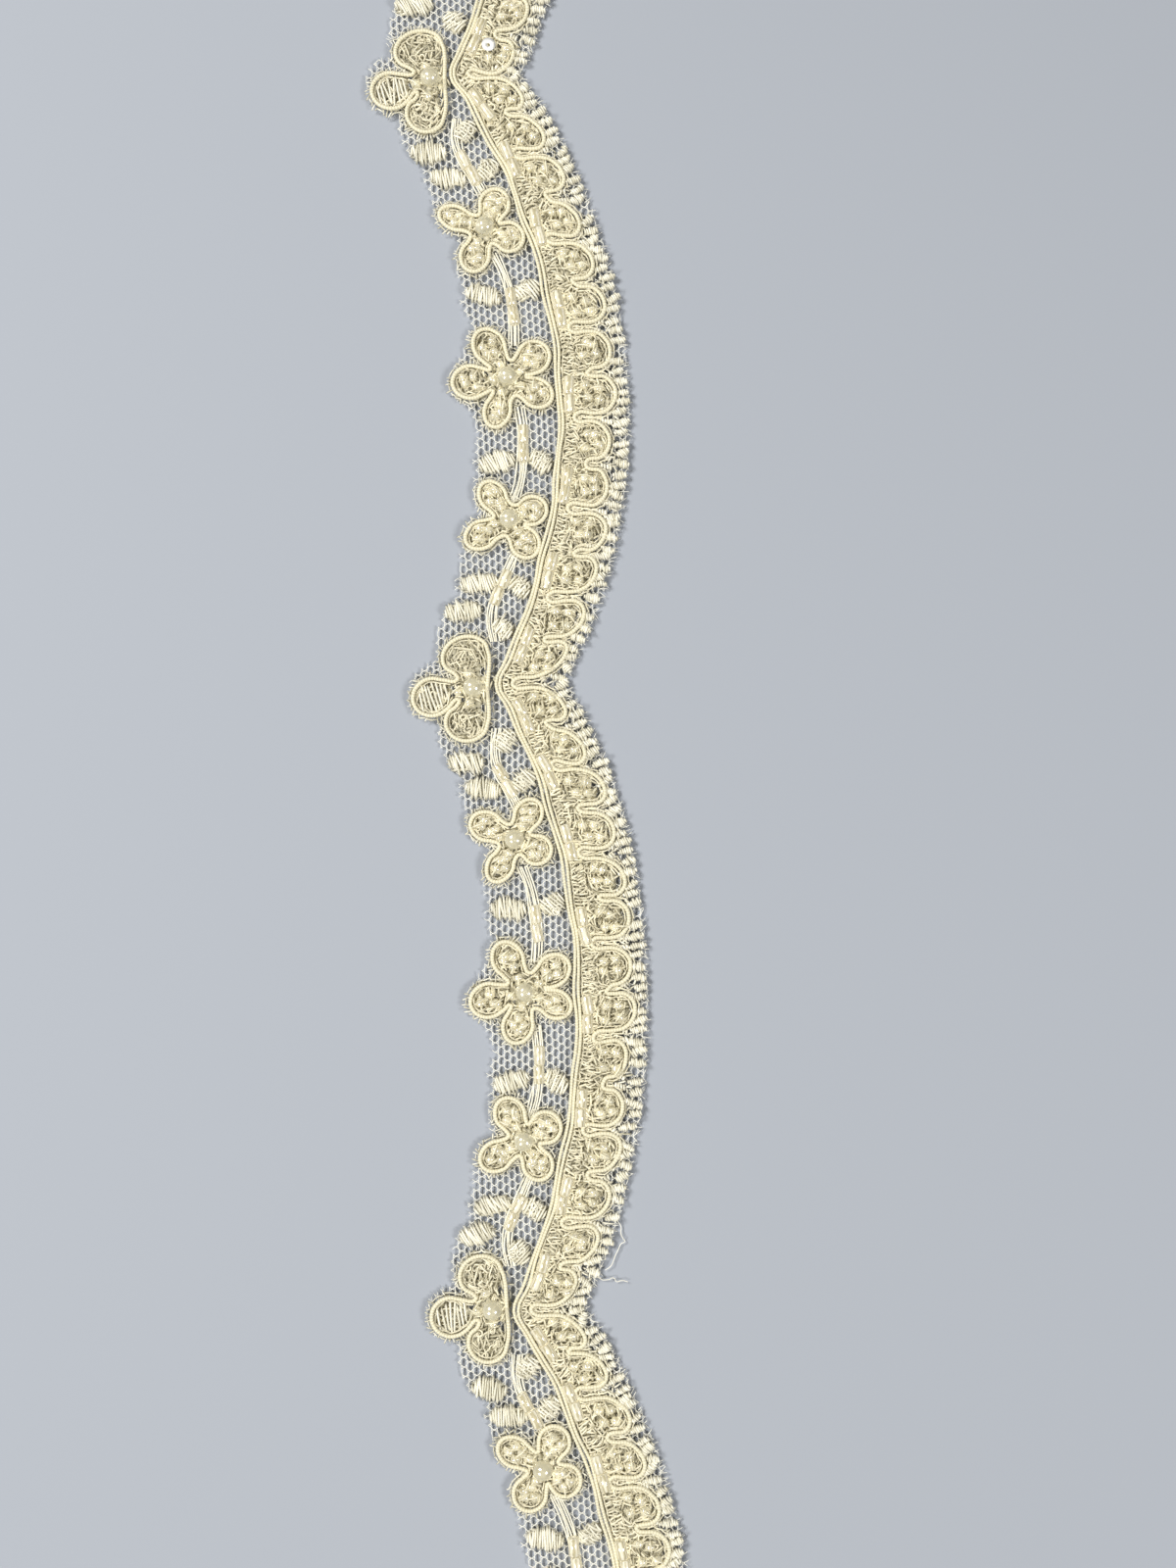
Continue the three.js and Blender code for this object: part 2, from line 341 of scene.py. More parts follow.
# %% Flower tables
# angle in degrees from the X axis; reach from the bead to the petal's middle, its length and its
# width in mm; then the notch after it, by angle and reach. first and last are degrees from the
# tip where the cord joins and leaves the petal, where they aren't PETAL_SWEEP.
PETAL = ("angle", "reach", "length", "width", "notch_angle", "notch_reach", "first", "last")
APEX_PETALS = [
    (105, 6.5, 7.4, 8.7, 149, 3.6, 78, 142),
    (187, 8.0, 7.8, 7.4, 216, 3.6),
    (256, 6.7, 7.2, 7.6, 360, 2.7, 142, 78),
]
SIDE_PETALS = [
    (61, 5.2, 6.4, 5.6, 106, 3.1),
    (151, 5.9, 7.0, 5.3, 197, 3.1),
    (237, 5.5, 6.8, 5.5, 287, 3.1),
    (334, 4.7, 5.9, 5.8, 377, 3.1),
]
MIDDLE_PETALS = [
    (38, 6.4, 6.9, 5.9, 76, 3.6),
    (114, 7.0, 7.5, 6.1, 149, 3.8),
    (184, 7.1, 7.4, 6.1, 218, 3.8),
    (252, 6.5, 7.0, 5.6, 291, 3.7),
    (329, 6.1, 6.7, 5.8, 363.5, 3.6),
]
PETAL_SWEEP = 128
FORMS = {"apex": APEX_PETALS, "side": SIDE_PETALS, "middle": MIDDLE_PETALS}
FLOWERS = [  # form, mm below the first cusp, mm across, turn in degrees, mirrored
    ("apex", 0.8, -4.2, 0, False),
    ("side", 30.8, 3.4, 2, False),
    ("middle", 60.4, 5.1, -1, False),
    ("side", 88.2, 3.65, 0, True),
    ("apex", 120.4, -4.4, 0, False),
    ("side", 150.1, 3.2, 0, False),
    ("middle", 179.4, 4.95, 2, False),
    ("side", 207.7, 3.8, -1, True),
    ("apex", 239.2, -4.1, 0, False),
    ("side", 269.8, 2.8, -3, False),
    ("middle", 300.0, 5.05, 0, False),
]

# %% Petals in plan


def polar(degrees, reach):
    return Vector((math.cos(math.radians(degrees)), math.sin(math.radians(degrees)))) * reach


def petals_of(flower):
    """Each petal as a dict in plan, turned and mirrored with its flower, and a little uneven."""
    form, down, across, turn, mirrored = flower
    rows = FORMS[form]
    bead = Vector((across, -down)) * MM
    petals = [{"first": PETAL_SWEEP, "last": PETAL_SWEEP, **dict(zip(PETAL, row))} for row in rows]
    if mirrored:
        for index, petal in enumerate(petals):
            before = rows[index - 1]
            petal["angle"] = 360 - rows[index][0]
            petal["notch_angle"] = 360 - before[4] + (0 if index else 360)
            petal["notch_reach"] = before[5]
        petals.reverse()
    for petal in petals:
        petal["form"] = form
        petal["bead"] = bead
        petal["angle"] += turn + chance.normal(0, 3)
        petal["centre"] = bead + polar(petal["angle"], petal["reach"] * MM)
        petal["notch"] = bead + polar(petal["notch_angle"] + turn, petal["notch_reach"] * MM)
        petal["along"] = polar(petal["angle"], petal["length"] / 2 * MM)
        width = petal["width"] * MM * np.clip(chance.normal(1, 0.07), 0.86, 1.14)
        petal["across"] = polar(petal["angle"] + 90, width / 2)
    return petals


FLOWER_PETALS = [petals_of(flower) for flower in FLOWERS]
ALL_PETALS = [petal for petals in FLOWER_PETALS for petal in petals]


def petal_depth(point, petal):
    """0 at the petal's centre, 1 on its cord."""
    away = point - petal["centre"]
    u = away.dot(petal["along"]) / petal["along"].length_squared
    v = away.dot(petal["across"]) / petal["across"].length_squared
    return math.hypot(u, v)


print("petals:", len(ALL_PETALS))

# %% [markdown]
# ## Where the net is open
# The ground is hexagonal net. It stays open beside the flowers and along both edges, and it is
# stitched over solid in the band inside the wave cord and inside the petals. Two small rules,
# one for the free edge and one for the stitched area, decide for each cell.

# %% Rules for the ground
FREE_EDGE = [  # distance from the nearest cusp, place of the edge; both in mm
    (0, -17),
    (2.4, -16.5),
    (4.6, -14),
    (5.4, -11.2),
    (7, -11.4),
    (10, -11.4),
    (12.6, -10.8),
    (15, -9.8),
    (17.6, -7.2),
    (20.4, -7.6),
    (23, -6.4),
    (26.5, -6.3),
    (29.2, -4.6),
    (31.2, -2),
    (34.4, -2.6),
    (38, -3),
    (42, -2.5),
    (45.2, -2.7),
    (49, -1.4),
    (54, -2.8),
    (57.2, -5.2),
    (60, -6.2),
]
LOOPS = 14  # loops of the wave cord on one scallop


def from_cusp(y):
    below = -y % SCALLOP
    return min(below, SCALLOP - below)


def free_edge_x(y):
    distances, places = zip(*FREE_EDGE)
    return np.interp(from_cusp(y) / MM, distances, places) * MM


def crown_distance(share):
    """0 at the crown of a loop of the wave cord, 1 at the turn between two loops."""
    loop = (share + 1) / 2 * LOOPS
    return abs(loop % 1 - 0.5) * 2


def band_limit(share):
    beyond = max(0.0, crown_distance(share) - 0.55) / 0.45
    return (9.7 - 2.7 * beyond) * (1 - LOOP_EASE * easing(share)) * MM


def on_ground(point, past=0.0):
    """Whether a plan point is inside the trim's outline, or no further past it than that."""
    number, share, out = chart_place(point)
    between_edges = point[0] > free_edge_x(point[1]) - past and out < edge_out(share) + past
    return between_edges and inside_ends(point, -past)


def is_stitched(point):
    number, share, out = chart_place(point)
    if 0.4 * MM < out < band_limit(share):
        return True
    near = [p for p in ALL_PETALS if (point - p["bead"]).length < 13 * MM]
    beside_bead = any((point - p["bead"]).length < 3.2 * MM for p in near)
    return beside_bead or any(petal_depth(point, petal) < 1.06 for petal in near)


# %% [markdown]
# ## The net
# Each cell is a hexagon, taller than wide, and neighbouring columns are staggered by half a
# cell. One way is to draw every thread. It is simpler to lay the hexagons edge to edge, inset
# each open one by half a thread and take its middle out: the rims that are left are the threads,
# already joined at every knot. The net is cut last, as with scissors, so that threads end in the
# air along its edges. A Solidify modifier then gives them their thickness.

# %% Hexagon net
CELL_WIDE = 1.16 * MM  # column to column
CELL_TALL = 1.75 * MM  # cell to cell in one column
NET_THREAD = 0.25 * MM
NET_HEIGHT = 0.42 * MM
OVERCUT = 0.9 * MM  # cells are laid this far past the outline before the cut
# Painted shade: the net under stitching takes its thread's shade colour, for the dark between the
# stitches.
PAINTED_SHADE_UNDER_STITCHING = 0.2  # net under stitching lies in its shade


def net_wave(point):
    """The net isn't pressed dead flat: it rises and falls a little in a gentle wave."""
    return 0.14 * MM * math.sin(point.x / (4.1 * MM)) * math.sin(point.y / (5.3 * MM) + 1)


def pulled(point):
    """The stitching pulls the cells a little out of true."""
    pull = noise.noise_vector(Vector((point.x, point.y, 0)) / (2.6 * MM))
    return Vector((point.x + 0.16 * MM * pull.x, point.y + 0.16 * MM * pull.y, 0))


def lattice_places():
    columns = range(int(-18 * MM / CELL_WIDE), int(30 * MM / CELL_WIDE) + 1)
    rows = range(int(BOTTOM_END / CELL_TALL) - 1, int(TOP_END / CELL_TALL) + 2)
    places = [
        Vector((column * CELL_WIDE, (row + 0.5 * (column % 2)) * CELL_TALL))
        for column in columns
        for row in rows
    ]
    return [place for place in places if on_ground(place, OVERCUT)]


def hexagon_ground():
    """Lays the cells, opens them and cuts the edge. Gives the mesh and its area inside the outline."""
    bm = bmesh.new()
    stretch = Matrix.Diagonal((CELL_WIDE / 1.5, CELL_TALL / math.sqrt(3), 1, 1))
    for centre in lattice_places():
        spot = Matrix.Translation((centre.x, centre.y, 0))
        bmesh.ops.create_circle(bm, cap_ends=True, segments=6, radius=1.0, matrix=spot @ stretch)
    bmesh.ops.remove_doubles(bm, verts=bm.verts, dist=0.05 * MM)
    centres = {face: face.calc_center_median().xy for face in bm.faces}
    area = sum(face.calc_area() for face, centre in centres.items() if on_ground(centre))
    open_cells = [f for f, c in centres.items() if not (on_ground(c) and is_stitched(c))]
    for vert in bm.verts:
        vert.co = pulled(vert.co)
    bmesh.ops.inset_individual(bm, faces=open_cells, thickness=NET_THREAD / 2)
    bmesh.ops.delete(bm, geom=open_cells, context="FACES")
    cut_off = [face for face in bm.faces if not on_ground(face.calc_center_median().xy)]
    bmesh.ops.delete(bm, geom=cut_off, context="FACES")
    bmesh.ops.recalc_face_normals(bm, faces=bm.faces)
    # The net under the stitching is painted in its shade colour: painted shade between the stitches.
    tone = bm.verts.layers.float.new("tone")
    for vert in bm.verts:
        buried = all(len(face.verts) == 6 for face in vert.link_faces)
        vert[tone] = PAINTED_SHADE_UNDER_STITCHING if buried else 1.0
        vert.co = laid(vert.co, NET_HEIGHT + net_wave(vert.co))
    mesh = bpy.data.meshes.new("lace_ground")
    bm.to_mesh(mesh)
    bm.free()
    return mesh, area


# %% Note each thread on its mesh


def add_strand(mesh, vectors):
    """Where a point lies along and round its own thread, in metres, for the fibres to follow."""
    layer = mesh.attributes.new("strand", "FLOAT_VECTOR", "POINT")
    layer.data.foreach_set("vector", np.asarray(vectors, dtype=np.float32).ravel())


def add_tone(mesh, values):
    """A number from 0 to 1 at each vertex, which the thread finishes read as a mix from painted shade to
    light.
    """
    layer = mesh.attributes.new("tone", "FLOAT", "POINT")
    layer.data.foreach_set("value", np.asarray(values, dtype=np.float32))


def vertex_places(mesh):
    places = np.empty(len(mesh.vertices) * 3)
    mesh.vertices.foreach_get("co", places)
    return places.reshape(-1, 3)


# %% Lay the net
ground_mesh, GROUND_AREA = hexagon_ground()
add_strand(ground_mesh, vertex_places(ground_mesh))
lace_ground = finish_piece(ground_mesh, "lace_ground", net_thread, ["net_ground"])
thickness = lace_ground.modifiers.new("thread_thickness", "SOLIDIFY")
thickness.thickness = 0.24 * MM
thickness.offset = 0
print("ground inside the outline: %.1f square cm" % (GROUND_AREA / 1e-4))

# %% [markdown]
# ## One stitch, used thousands of times
# A stitch is a short float of thread that rises from the net and dives back in. It is modelled
# once, by spinning a small four-sided ring through half a turn. A loose loop is the same ring
# spun nearly full circle, lying down. Both are then planted wherever the needle went, stretched to
# the size of that stitch. NumPy moves all the copies at once, which is far quicker than one
# object for each.

# %% Model a stitch and a loop


def spun_thread(name, start, axis, sweep, steps):
    """A four-sided ring moved by start, then spun round the origin."""
    bm = bmesh.new()
    bmesh.ops.create_circle(bm, cap_ends=False, segments=4, radius=1.0, matrix=start)
    bmesh.ops.spin(
        bm,
        geom=bm.edges[:],
        axis=axis,
        cent=(0, 0, 0),
        angle=sweep,
        steps=steps,
        use_merge=False,
        use_duplicate=False,
    )
    bmesh.ops.holes_fill(bm, edges=[edge for edge in bm.edges if edge.is_boundary])
    bmesh.ops.recalc_face_normals(bm, faces=bm.faces)
    mesh = bpy.data.meshes.new(name)
    bm.to_mesh(mesh)
    bm.free()
    return mesh


# The float spans x from -1 to 1 and is 1 high, with 1 to each side of its middle line.
lying_ring = Matrix.Translation((-1, 0, 0)) @ Matrix.Diagonal((0.22, 1, 1, 1))
one_stitch = spun_thread("one_stitch", lying_ring, (0, 1, 0), math.pi, 4)
standing_ring = Matrix.Translation((1, 0, 0)) @ Matrix.Rotation(math.pi / 2, 4, "X")
one_loop = spun_thread("one_loop", standing_ring @ Matrix.Scale(0.24, 4), (0, 0, 1), math.radians(310), 7)
print("faces of a stitch:", len(one_stitch.polygons), "of a loop:", len(one_loop.polygons))

# %% Plant copies


def planted(name, template, places):
    """One mesh of many copies. places: x, y, z, heading, pitch, three scales and tone of each."""
    rows = np.array(places, dtype=float)
    count = len(template.vertices)
    shape = vertex_places(template)[None] * rows[:, None, 5:8]
    pitch = rows[:, 4, None]
    x = shape[..., 0] * np.cos(pitch) + shape[..., 2] * np.sin(pitch)
    z = shape[..., 2] * np.cos(pitch) - shape[..., 0] * np.sin(pitch)
    heading = rows[:, 3, None]
    turned = np.stack(
        [
            x * np.cos(heading) - shape[..., 1] * np.sin(heading),
            x * np.sin(heading) + shape[..., 1] * np.cos(heading),
            z,
        ],
        axis=-1,
    )
    points = (turned + rows[:, None, 0:3]).reshape(-1, 3)
    faces = [tuple(face.vertices) for face in template.polygons]
    all_faces = [tuple(v + i * count for v in face) for i in range(len(rows)) for face in faces]
    mesh = bpy.data.meshes.new(name)
    mesh.from_pydata(points.tolist(), [], all_faces)
    mesh.update()
    add_tone(mesh, np.repeat(rows[:, 8], count))
    add_strand(mesh, shape + 7 * rows[:, None, 0:3])  # the shift gives each copy its own fibres
    return mesh


def sewn(name, template, places, thread):
    return finish_piece(planted(name, template, places), name, thread)


# %% [markdown]
# ## Couched cords
# A cord keeps one thickness along a route, which is just what a Blender curve with a round bevel
# does. Automatic handles make it run smoothly through a few chosen points. It is then turned to a
# mesh, which marks how far along the cord each ring lies, so that the wraps of the gimp can
# follow it. The rings' centres are kept too, because the embroidery runs beside the cords.

# %% Draw a cord
CORD = 0.8 * MM  # a 0.7 mm core, and wraps that stand a little off it
SPINE_CORD = 0.6 * MM
CORD_HEIGHT = 1.5 * MM
CORD_TONE = 0.85
CORD_SIDES = 8  # what Blender makes of a bevel resolution of 2


def cord_mesh(name, routes, diameter, height, closed=False):
    """routes: lists of plan points, with a rise where there is one. One mesh holds them all."""
    curve = bpy.data.curves.new(name, "CURVE")
    curve.dimensions = "3D"
    curve.bevel_depth = diameter / 2
    curve.bevel_resolution = 2
    curve.resolution_u = 4
    curve.use_fill_caps = True
    for route in routes:
        spline = curve.splines.new("BEZIER")
        spline.bezier_points.add(len(route) - 1)
        spline.use_cyclic_u = closed
        for knot, point in zip(spline.bezier_points, route):
            knot.co = laid(point, height + (point[2] if len(point) > 2 else 0.0))
            knot.handle_left_type = "AUTO"
            knot.handle_right_type = "AUTO"
    holder = bpy.data.objects.new(name, curve)
    bpy.context.scene.collection.objects.link(holder)
    mesh = bpy.data.meshes.new_from_object(holder.evaluated_get(bpy.context.evaluated_depsgraph_get()))
    bpy.data.objects.remove(holder)
    bpy.data.curves.remove(curve)
    mesh.name = name
    add_tone(mesh, np.full(len(mesh.vertices), CORD_TONE))
    rings = vertex_places(mesh).reshape(-1, CORD_SIDES, 3)
    line = rings.mean(axis=1)
    along = np.concatenate([[0], np.cumsum(np.linalg.norm(np.diff(line, axis=0), axis=1))])
    strand = rings - line[:, None]
    strand[..., 0] = along[:, None]
    add_strand(mesh, strand)
    return mesh


def middle_line(piece):
    return vertex_places(piece.data).reshape(-1, CORD_SIDES, 3).mean(axis=1)


def gimp_piece(name, route, diameter, solid, closed=False):
    mesh = cord_mesh(name, [route], diameter, CORD_HEIGHT, closed)
    return finish_piece(mesh, name, gimp, [solid])


# %% [markdown]
# The spine is two cords side by side. The wave cord swings out round each loop and turns back
# near the spine, by turns close to it and further out, where a pair of bugle beads lies. A hand
# guides it, so each loop differs a little from the next.

# %% Spine and wave
SPINE_OFFSET = 0.45 * MM
PRESSED = 0.8  # the couching stitches press the two spine cords together
DEEP_TURN = 3.0 * MM
SHALLOW_TURN = 5.4 * MM
TURN_END = 0.81
CROWN = 10.4 * MM
LOOP_FLANK = [(0.81, 6.6), (0.75, 8.4), (0.44, 9.9)]  # share of half the pitch, mm from the spine


def spine_route(offset, steps=24):
    points = []
    for number in SCALLOPS:
        for step in range(steps):
            wander = 0.26 * MM * math.sin(step * 1.9 + number) + chance.normal(0, 0.08 * MM)
            points.append(on_scallop(number, 2 * step / steps - 1, offset * PRESSED + wander))
    return [point for point in points if inside_ends(point, SPINE_CORD)]


def wave_route():
    points = []
    for number in SCALLOPS:
        for index in range(LOOPS):
            turns = [SHALLOW_TURN if turn % 2 else DEEP_TURN for turn in (index, index + 1)]
            lean = chance.normal(0.08, 0.2)
            swell = chance.normal(1, 0.04)
            ends = [TURN_END + (0.1 if turn == SHALLOW_TURN else 0.04) for turn in turns]
            stations = [(-ends[0], turns[0] + chance.uniform(-0.1, 0.6) * MM)]
            stations += [(-along, out * MM * swell) for along, out in LOOP_FLANK]
            stations += [(chance.normal(0, 0.08), CROWN * swell)]
            stations += [(along, out * MM * swell) for along, out in reversed(LOOP_FLANK)]
            stations += [(ends[1], turns[1] + chance.uniform(-0.1, 0.6) * MM)]
            for along, out in stations:
                reach = max(0.0, out / CROWN - 0.4)
                along += chance.normal(0, 0.02)
                share = (2 * index + 1 + along + lean * reach) / LOOPS - 1
                points.append(on_scallop(number, share, out * (1 - LOOP_EASE * easing(share))))
    return [point for point in points if inside_ends(point, CORD)]


gimp_piece("spine_cord_a", spine_route(-SPINE_OFFSET), SPINE_CORD, "spine_cord_inner")
spine_outer = gimp_piece("spine_cord_b", spine_route(SPINE_OFFSET), SPINE_CORD, "spine_cord_outer")
wave = gimp_piece("wave_gimp", wave_route(), CORD, "wave_cord")

# %% Flower outlines
PETAL_POINTS = 8


def flower_route(petals):
    points = []
    for petal in petals:
        for step in range(PETAL_POINTS):
            whole = petal["first"] + petal["last"]
            sweep = math.radians(whole * step / (PETAL_POINTS - 1) - petal["first"])
            points.append(
                petal["centre"] + petal["along"] * math.cos(sweep) + petal["across"] * math.sin(sweep)
            )
        points.append(petal["notch"])
    return points


flower_cords = [
    gimp_piece(
        "flower_gimp_%02d" % number,
        flower_route(petals),
        CORD,
        "flower_cord_%02d" % number,
        closed=True,
    )
    for number, petals in enumerate(FLOWER_PETALS, start=1)
]

# %% [markdown]
# ## Stitched band
# Beside the spine the machine lays a ladder of short stitches square to it. Inside each loop it
# follows the loop round, packs crinkled curls between and leaves little of the net to see. Both
# are scattered with a seeded generator, with enough stray to look sewn rather than combed. A line
# of stem stitch runs along each side of the wave cord.

# %% Stitch placing
STITCH_HEIGHT = 0.58 * MM
LOOP_MIDDLE = 6.6 * MM  # how far from the spine the middle of a loop lies


def stitch(spot, heading, length, width, rise, tone):
    return (*spot, heading, 0.0, length / 2, width / 2, rise, tone)


def filling_stitch(point, heading, stray, shortest, longest):
    """One of the many stitches that fill a petal or a loop. Lengths in mm."""
    return stitch(
        laid(point, STITCH_HEIGHT + chance.uniform(-0.15, 0.3) * MM),
        heading + chance.normal(0, stray),
        chance.uniform(shortest, longest) * MM,
        chance.uniform(0.28, 0.4) * MM,
        chance.uniform(0.3, 0.7) * MM,
        chance.beta(2.6, 1.3),
    )


def curl(spot, radius, tone):
    """A loop of thread that has sprung up, tipped a little."""
    squash = radius * chance.uniform(0.55, 1)
    return (*spot, chance.uniform(0, 6.28), chance.normal(0, 0.5), radius, squash, radius, tone)


def scattered(low, high, spacing):
    """Chart places in the band between two distances from the spine, on a loose grid."""
    for number in SCALLOPS:
        for out in np.arange(low, high, spacing):
            steps = int(2 * half_angle(out) * (RADIUS + out) / spacing)
            for step in range(steps):
                share = (step + chance.uniform(0, 1)) / steps * 2 - 1
                strayed = out + chance.normal(0, spacing / 3)
                point = on_scallop(number, share, strayed)
                if inside_ends(point, MM):
                    yield number, share, out, point


def outward(share, out):
    """Heading of the direction that points away from the spine."""
    return -share * half_angle(out)


def round_the_loop(number, share, point):
    """Heading square to the way from the middle of the nearest loop of the wave."""
    index = min(int((share + 1) / 2 * LOOPS), LOOPS - 1)
    away = point - on_scallop(number, (2 * index + 1) / LOOPS - 1, LOOP_MIDDLE)
    return math.atan2(away.y, away.x) + math.pi / 2


def beside(piece, spacing, aside):
    """Places along a cord's line, moved to its left by aside, with the heading there."""
    line = middle_line(piece)
    travelled = 0.0
    for before, here in zip(line, line[1:]):
        step = here - before
        travelled += np.linalg.norm(step)
        if travelled > spacing:
            travelled = 0.0
            heading = math.atan2(step[1], step[0])
            shift = aside + chance.normal(0, 0.06 * MM)
            spot = here + shift * np.array([-math.sin(heading), math.cos(heading), 0])
            yield Vector((spot[0], spot[1], STITCH_HEIGHT + 0.2 * MM)), heading


def stem_stitches(piece, aside, tone):
    """A line of overlapping stitches that keeps beside a cord."""
    return [
        stitch(spot, heading + chance.normal(0, 0.16), 1.7 * MM, 0.32 * MM, 0.4 * MM, tone)
        for spot, heading in beside(piece, 0.8 * MM, aside)
    ]


# %% Stitch the band
LADDER_PITCH = 0.62 * MM
LADDER_ROWS = (1.5, 2.9)  # mm from the spine


def ladder_stitches():
    rows = []
    for number in SCALLOPS:
        for out in LADDER_ROWS:
            count = int(2 * half_angle(0) * RADIUS / LADDER_PITCH)
            for index in range(count):
                share = (index + chance.uniform(0.2, 0.8)) / count * 2 - 1
                point = on_scallop(number, share, out * MM + chance.normal(0, 0.2 * MM))
                if not inside_ends(point, 1.2 * MM):
                    continue
                heading = outward(share, 0) + chance.choice((-0.3, 0.3)) + chance.normal(0, 0.12)
                length = chance.uniform(1.5, 2.1) * MM
                rise = chance.uniform(0.45, 0.75) * MM
                tone = chance.uniform(0.55, 1.05)
                rows.append(stitch(laid(point, STITCH_HEIGHT), heading, length, 0.36 * MM, rise, tone))
    return rows


def loop_stitches():
    return [
        filling_stitch(point, round_the_loop(number, share, point), 0.55, 1.3, 2.4)
        for number, share, out, point in scattered(3.4 * MM, 9.6 * MM, 0.92 * MM)
        if out <= band_limit(share)
    ]


def band_curls():
    rows = []
    for number, share, out, point in scattered(1.2 * MM, 9.2 * MM, 1.75 * MM):
        if out < band_limit(share) - 0.4 * MM:
            spot = laid(point, chance.uniform(0.85, 1.25) * MM)
            rows.append(curl(spot, chance.uniform(0.4, 0.75) * MM, chance.beta(3, 1.2)))
    return rows


def edging_stitches():
    rows = stem_stitches(wave, -0.7 * MM, 0.8)
    rows += stem_stitches(wave, 0.7 * MM, 0.95)
    return rows + stem_stitches(spine_outer, 0.62 * MM, 0.85)


band_fill = sewn("band_stitching", one_stitch, ladder_stitches() + loop_stitches(), stitch_thread)
band_loops = sewn("band_loops", one_loop, band_curls(), stitch_thread)
cord_edging = sewn("cord_edging", one_stitch, edging_stitches(), stitch_thread)

# %% [markdown]
# ## Stitched petals
# Petals are filled in the same way. The apex flowers are more open, with longer stitches and
# more curls. Their outer petal has long satin floats that lie side by side with gaps between
# them. Round every flower a fringe of little stitches stands out from under the cord.

# %% Fill the petals


def in_petal(petal, reach):
    depth = reach * math.sqrt(chance.uniform(0, 1))
    around = chance.uniform(0, 2 * math.pi)
    across = petal["across"] * depth * math.sin(around)
    return petal["centre"] + petal["along"] * depth * math.cos(around) + across


def has_floats(petal):
    return petal["form"] == "apex" and abs(petal["angle"] - 180) < 20


def round_the_petal(petal, point):
    away = point - petal["centre"]
    return math.atan2(away.y, away.x) + math.pi / 2


def petal_stitches():
    rows = []
    for petal in ALL_PETALS:
        open_work = petal["form"] == "apex"
        longest = 3.2 if open_work else 2.2
        for _ in range(24 if has_floats(petal) else 50 if open_work else 42):
            point = in_petal(petal, 0.94)
            rows.append(filling_stitch(point, round_the_petal(petal, point), 0.6, 1.1, longest))
    for cord in flower_cords:
        rows += stem_stitches(cord, 0.68 * MM, 0.85)
    return rows


def middle_stitches():
    """Small stitches that cover the net round each flower's bead."""
    rows = []
    for form, down, across, turn, mirrored in FLOWERS:
        for _ in range(26):
            aside = polar(chance.uniform(0, 360), chance.uniform(1.6, 3.6) * MM)
            spot = laid(Vector((across, -down)) * MM + aside, 0.75 * MM)
            length = chance.uniform(0.9, 1.7) * MM
            tone = chance.beta(2.6, 1.3)
            rows.append(stitch(spot, chance.uniform(0, math.pi), length, 0.34 * MM, 0.7 * MM, tone))
    return rows


def petal_floats():
    """Long floats square to the petal, as far as its cord lets them reach."""
    rows = []
    for petal in filter(has_floats, ALL_PETALS):
        for place in np.arange(-0.7, 0.8, 0.19):
            reach = math.sqrt(1 - place * place) * chance.uniform(0.68, 0.88)
            centre = petal["centre"] + petal["along"] * (place + chance.normal(0, 0.02))
            centre = centre + petal["across"] * chance.normal(0, 0.08)
            heading = math.radians(petal["angle"] + 90) + chance.normal(0, 0.13)
            length = 2 * reach * petal["across"].length
            rise = chance.uniform(0.5, 0.8) * MM
            tone = chance.uniform(0.7, 1.05)
            rows.append(stitch(laid(centre, 0.75 * MM), heading, length, 0.4 * MM, rise, tone))
    return rows


def petal_curls():
    rows = []
    for petal in ALL_PETALS:
        for _ in range(2 if has_floats(petal) else 16 if petal["form"] == "apex" else 7):
            spot = laid(in_petal(petal, 0.78), chance.uniform(0.9, 1.25) * MM)
            rows.append(curl(spot, chance.uniform(0.4, 0.75) * MM, chance.beta(3, 1.2)))
    return rows


def rim_stitches():
    rows = []
    for cord in flower_cords:
        for spot, heading in beside(cord, 0.33 * MM, -0.75 * MM):
            along_cord = chance.uniform() < 0.3
            aim = heading if along_cord else heading - math.pi / 2 + chance.normal(0, 0.7)
            size = chance.uniform(0.7, 1.8) * MM
            rise = chance.uniform(0.15, 0.4) * MM
            rows.append(stitch(spot, aim, size, 0.28 * MM, rise, chance.uniform(0.4, 1)))
    return rows


petal_fill = sewn("petal_stitching", one_stitch, petal_stitches() + middle_stitches(), stitch_thread)
petal_loops = sewn("petal_loops", one_loop, petal_curls(), stitch_thread)
petal_satin = sewn("petal_satin", one_stitch, petal_floats() + rim_stitches(), satin_thread)

# %% [markdown]
# ## Satin leaves and picots
# Satin stitch is the same float of thread laid side by side until it covers. One function lays
# such a bar, with its span following an oval. A long wide bar is a leaf, and a short narrow one
# that points outwards is a picot. The leaves next to the spine are rosettes instead: floats laid
# round a middle, with curls on top. A picot swells into one, two or three knobs, no two are
# alike, and here and there one is missing. Between the bars the net shows.

# %% Satin bars


def satin_bar(centre, heading, length, width, spacing, thread, rise, roundness, knobs=0):
    """Floats square to a bar, shorter towards its tips and, if asked, swelling into knobs along it."""
    rows = []
    count = max(2, round(length / spacing))
    slant = chance.normal(0.16, 0.08)
    for index in range(count):
        place = (index + 0.5) / count * 2 - 1
        span = width * (1 - abs(place) ** roundness) ** 0.5 * chance.uniform(0.84, 1.12)
        if knobs:
            span *= 0.8 + 0.1 * place + 0.2 * abs(math.sin((place + 1) / 2 * math.pi * knobs))
        point = centre + polar(math.degrees(heading), place * length / 2)
        point = point + polar(math.degrees(heading) + 90, chance.normal(0, 0.05) * width)
        rows.append(
            stitch(
                laid(point, 0.5 * MM),
                heading + math.pi / 2 + slant + chance.normal(0, 0.09),
                span,
                thread * chance.uniform(0.85, 1.15),
                rise * chance.uniform(0.8, 1.15),
                chance.uniform(0.55, 1.1),
            )
        )
    return rows


